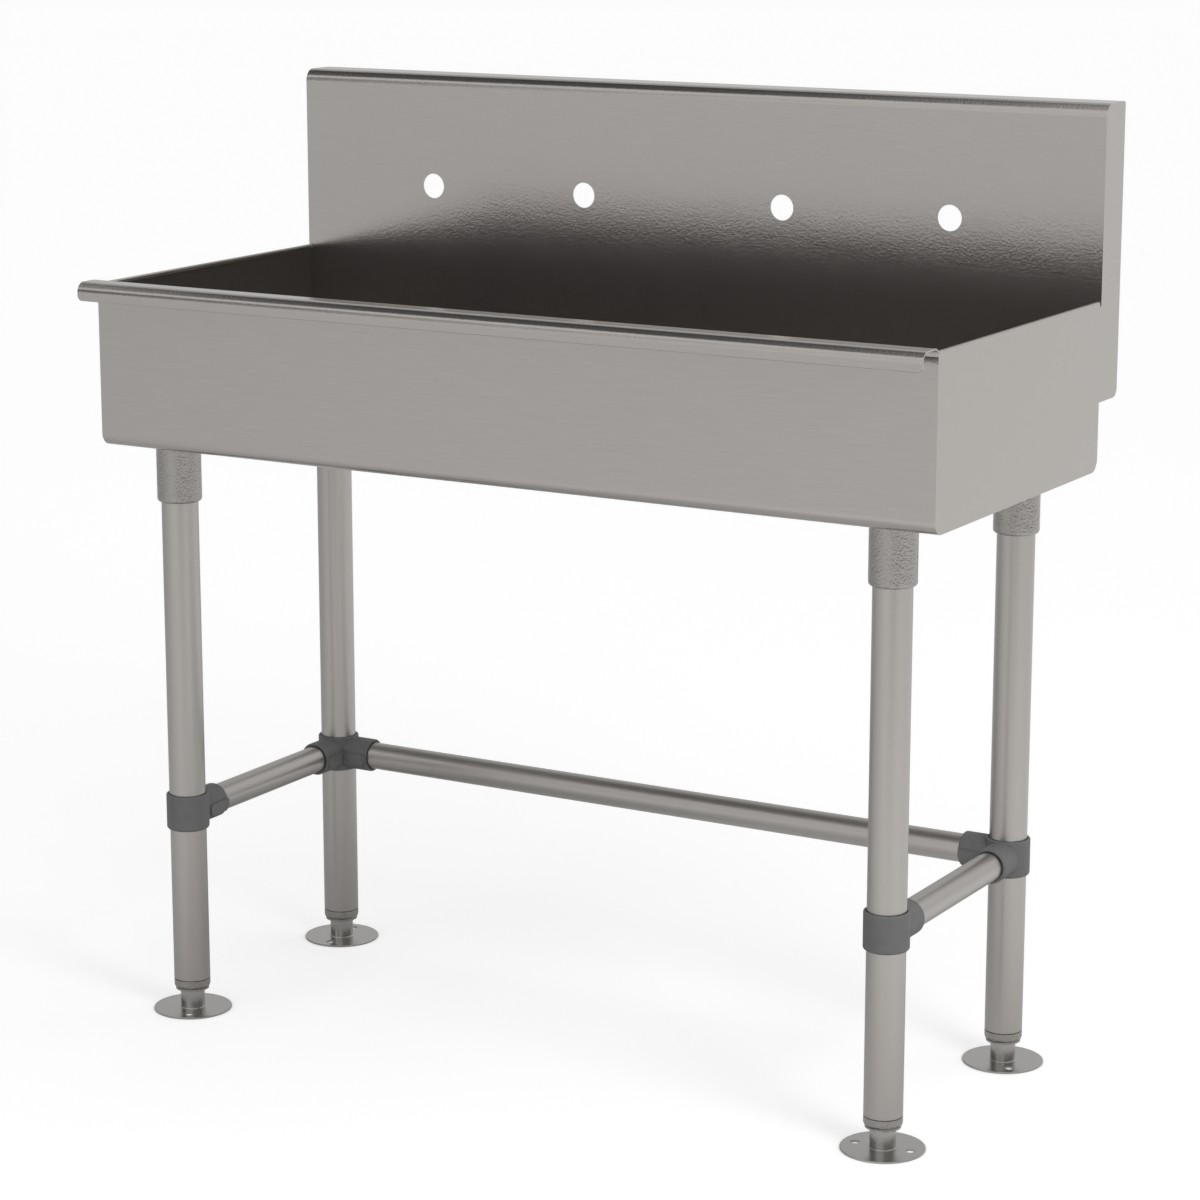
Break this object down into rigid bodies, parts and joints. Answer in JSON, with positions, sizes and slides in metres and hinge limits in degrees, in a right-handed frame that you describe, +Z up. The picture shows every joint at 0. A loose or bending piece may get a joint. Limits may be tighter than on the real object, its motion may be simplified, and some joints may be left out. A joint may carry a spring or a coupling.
{
  "type": "hand sink",
  "caption": "Floor-standing wash sink: a long bent-sheet bowl with a high splash and tap holes, on tube legs with rails and levelling feet.",
  "frame": {"origin": "on the floor, under the centre of the overall width and depth", "axes": "+Z up, +Y towards the splash and the wall, +X to the right of someone who stands at the sink"},
  "size_m": [1.016, 0.4948, 1.0495],
  "materials": {
    "sheet_steel": "satin brushed stainless sheet",
    "socket_steel": "satin stainless, faintly pebbled",
    "tube_steel": "satin brushed stainless tube",
    "clamp_casting": "matte dark grey casting",
    "insert_steel": "satin stainless",
    "foot_steel": "turned stainless",
    "screw_steel": "dark steel",
    "drain_steel": "satin stainless",
    "drain_rubber": "matte black rubber",
    "drain_fibre": "pressed fibre",
    "drain_nut_metal": "plated cast nut",
    "strainer_steel": "satin stainless",
    "post_steel": "polished",
    "stopper_rubber": "matte black rubber"
  },
  "bodies": {
    "sink": {"basin_shell": "sheet_steel", "end_panel_left": "sheet_steel", "end_panel_right": "sheet_steel", "leg_socket_front_left": "socket_steel", "leg_socket_front_right": "socket_steel", "leg_socket_rear_left": "socket_steel", "leg_socket_rear_right": "socket_steel", "leg_front_left": "tube_steel", "leg_front_right": "tube_steel", "leg_rear_left": "tube_steel", "leg_rear_right": "tube_steel", "rail_clamp_front_left": "clamp_casting", "rail_clamp_front_right": "clamp_casting", "corner_clamp_rear_left": "clamp_casting", "corner_clamp_rear_right": "clamp_casting", "side_rail_left": "tube_steel", "side_rail_right": "tube_steel", "rear_rail": "tube_steel", "foot_insert_front_left": "insert_steel", "foot_insert_front_right": "insert_steel", "foot_insert_rear_left": "insert_steel", "foot_insert_rear_right": "insert_steel", "socket_set_screws": "screw_steel", "clamp_set_screws": "screw_steel", "drain_body": "drain_steel", "drain_gasket": "drain_rubber", "drain_friction_ring": "drain_fibre", "drain_lock_nut": "drain_nut_metal"},
    "foot_front_left": {"foot_stem_front_left": "foot_steel", "floor_flange_front_left": "foot_steel"},
    "foot_front_right": {"foot_stem_front_right": "foot_steel", "floor_flange_front_right": "foot_steel"},
    "foot_rear_left": {"foot_stem_rear_left": "foot_steel", "floor_flange_rear_left": "foot_steel"},
    "foot_rear_right": {"foot_stem_rear_right": "foot_steel", "floor_flange_rear_right": "foot_steel"},
    "strainer": {"strainer_basket": "strainer_steel"},
    "stopper": {"strainer_post": "post_steel", "strainer_stopper": "stopper_rubber"}
  },
  "joints": [
    {"name": "foot_height_front_left", "type": "slide", "parent": "sink", "child": "foot_front_left", "axis": [0, 0, 1], "range_m": [-0.02, 0.015]},
    {"name": "foot_height_front_right", "type": "slide", "parent": "sink", "child": "foot_front_right", "axis": [0, 0, 1], "range_m": [-0.02, 0.015]},
    {"name": "foot_height_rear_left", "type": "slide", "parent": "sink", "child": "foot_rear_left", "axis": [0, 0, 1], "range_m": [-0.02, 0.015]},
    {"name": "foot_height_rear_right", "type": "slide", "parent": "sink", "child": "foot_rear_right", "axis": [0, 0, 1], "range_m": [-0.02, 0.015]},
    {"name": "strainer_lift", "type": "slide", "parent": "sink", "child": "strainer", "axis": [0, 0, 1], "range_m": [0, 0.06]},
    {"name": "stopper_lift", "type": "slide", "parent": "strainer", "child": "stopper", "axis": [0, 0, 1], "range_m": [0, 0.009]}
  ]
}
